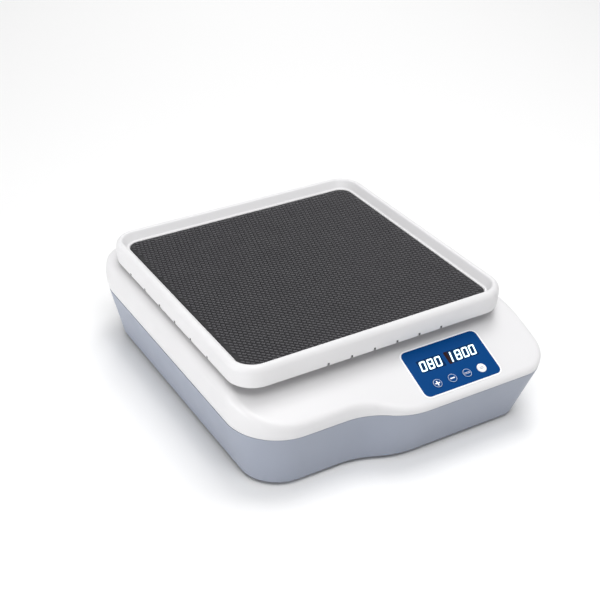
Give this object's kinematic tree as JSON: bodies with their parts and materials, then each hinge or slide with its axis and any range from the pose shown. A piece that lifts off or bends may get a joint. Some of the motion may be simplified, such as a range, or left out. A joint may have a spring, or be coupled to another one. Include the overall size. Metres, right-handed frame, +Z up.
{
  "type": "orbital shaker",
  "caption": "Bench orbital shaker: low casing with a wavy front and sloping control panel, and a square rimmed tray with an anti-slip mat that circles on a crank and idlers.",
  "frame": {"origin": "on the ground under the middle of the body's plan box", "axes": "+X to the operator's right, +Y to the rear, +Z up"},
  "size_m": [0.294, 0.348, 0.1229],
  "materials": {
    "white_shell": "satin white ABS",
    "grey_shell": "fine-textured blue-grey ABS",
    "mat_rubber": "ribbed anti-slip rubber",
    "foot_rubber": "soft black rubber",
    "panel_blue": "printed polyester film",
    "panel_white": "printed white border",
    "key_blue": "printed key",
    "key_white": "printed key",
    "window_smoke": "smoked acrylic",
    "display_black": "black display module",
    "black_plastic": "moulded black nylon",
    "rocker_black": "moulded black nylon",
    "circuit_board": "glass-epoxy board with green solder mask",
    "capacitor_can": "sleeved aluminium can",
    "nickel": "nickel-plated brass",
    "plate_steel": "zinc-plated sheet",
    "screw_steel": "zinc-plated",
    "cast_aluminium": "die cast, machined seats",
    "ground_steel": "turned and ground",
    "bearing_steel": "ground bearing steel",
    "motor_paint": "black painted can",
    "belt_rubber": "neoprene toothed belt"
  },
  "bodies": {
    "base": {"top_cover": "white_shell", "lower_housing": "grey_shell", "foot_rear_left": "foot_rubber", "foot_rear_right": "foot_rubber", "foot_front_left": "foot_rubber", "foot_front_right": "foot_rubber", "panel_overlay": "panel_blue", "panel_frame": "panel_white", "speed_window": "window_smoke", "time_window": "window_smoke", "speed_display": "display_black", "time_display": "display_black", "dc_jack": "black_plastic", "switch_frame": "black_plastic", "tact_switches": "black_plastic", "panel_carrier": "black_plastic", "display_board": "circuit_board", "control_board": "circuit_board", "capacitors": "capacitor_can", "dc_jack_pin": "nickel", "dc_jack_nut": "nickel", "board_spacers": "nickel", "base_plate": "plate_steel", "motor_bracket": "plate_steel", "foot_screws": "screw_steel", "cover_screws": "screw_steel", "plate_screws": "screw_steel", "drive_housing": "cast_aluminium", "idler_posts": "cast_aluminium", "heat_sink": "cast_aluminium", "drive_bearing_lower": "bearing_steel", "drive_bearing_upper": "bearing_steel", "idler_bearings": "bearing_steel", "motor_body": "motor_paint", "drive_belt": "belt_rubber"},
    "crank": {"drive_shaft": "ground_steel", "drive_pulley": "cast_aluminium", "crank_disc": "ground_steel", "crank_pin": "ground_steel", "counterweight": "ground_steel"},
    "platform": {"platform_plate": "cast_aluminium", "crank_pin_bearing": "bearing_steel", "platform_bearings": "bearing_steel", "tray": "white_shell", "anti_slip_mat": "mat_rubber", "tray_screws": "screw_steel"},
    "rotor": {"motor_shaft": "ground_steel", "motor_pulley": "cast_aluminium"},
    "idler_front_left": {"idler_crank_front_left": "ground_steel"},
    "idler_front_right": {"idler_crank_front_right": "ground_steel"},
    "idler_rear_right": {"idler_crank_rear_right": "ground_steel"},
    "idler_rear_left": {"idler_crank_rear_left": "ground_steel"},
    "plus_key": {"key_plus": "key_blue"},
    "minus_key": {"key_minus": "key_blue"},
    "mode_key": {"key_mode": "key_blue"},
    "start_key": {"key_start": "key_white"},
    "rocker": {"power_rocker": "rocker_black"}
  },
  "joints": [
    {"name": "crank_spin", "type": "hinge", "parent": "base", "child": "crank", "pos_m": [0, 0.0024, 0.07], "axis": [0, 0, 1], "continuous": true},
    {"name": "platform_counter", "type": "hinge", "parent": "crank", "child": "platform", "pos_m": [-0.00707, 0.00947, 0.1], "axis": [0, 0, 1], "continuous": true},
    {"name": "motor_spin", "type": "hinge", "parent": "base", "child": "rotor", "pos_m": [0, 0.0924, 0.05], "axis": [0, 0, 1], "continuous": true},
    {"name": "idler_front_left_spin", "type": "hinge", "parent": "base", "child": "idler_front_left", "pos_m": [-0.085, -0.0826, 0.08], "axis": [0, 0, 1], "continuous": true},
    {"name": "idler_front_right_spin", "type": "hinge", "parent": "base", "child": "idler_front_right", "pos_m": [0.085, -0.0826, 0.08], "axis": [0, 0, 1], "continuous": true},
    {"name": "idler_rear_right_spin", "type": "hinge", "parent": "base", "child": "idler_rear_right", "pos_m": [0.085, 0.0874, 0.08], "axis": [0, 0, 1], "continuous": true},
    {"name": "idler_rear_left_spin", "type": "hinge", "parent": "base", "child": "idler_rear_left", "pos_m": [-0.085, 0.0874, 0.08], "axis": [0, 0, 1], "continuous": true},
    {"name": "plus_key_press", "type": "slide", "parent": "base", "child": "plus_key", "axis": [0, 0.3875, -0.9219], "range_m": [0, 0.0004], "stiffness_N_per_m": 700},
    {"name": "minus_key_press", "type": "slide", "parent": "base", "child": "minus_key", "axis": [0, 0.3875, -0.9219], "range_m": [0, 0.0004], "stiffness_N_per_m": 700},
    {"name": "mode_key_press", "type": "slide", "parent": "base", "child": "mode_key", "axis": [0, 0.3875, -0.9219], "range_m": [0, 0.0004], "stiffness_N_per_m": 700},
    {"name": "start_key_press", "type": "slide", "parent": "base", "child": "start_key", "axis": [0, 0.3875, -0.9219], "range_m": [0, 0.0004], "stiffness_N_per_m": 700},
    {"name": "rocker_tilt", "type": "hinge", "parent": "base", "child": "rocker", "pos_m": [-0.078, 0.1565, 0.029], "axis": [0, 0, 1], "range_deg": [-18, 0]}
  ],
  "couplings": [
    {"joint": "platform_counter", "follows": "crank_spin", "ratio": -1},
    {"joint": "motor_spin", "follows": "crank_spin", "ratio": 3},
    {"joint": "idler_front_left_spin", "follows": "crank_spin", "ratio": 1},
    {"joint": "idler_front_right_spin", "follows": "crank_spin", "ratio": 1},
    {"joint": "idler_rear_right_spin", "follows": "crank_spin", "ratio": 1},
    {"joint": "idler_rear_left_spin", "follows": "crank_spin", "ratio": 1}
  ]
}
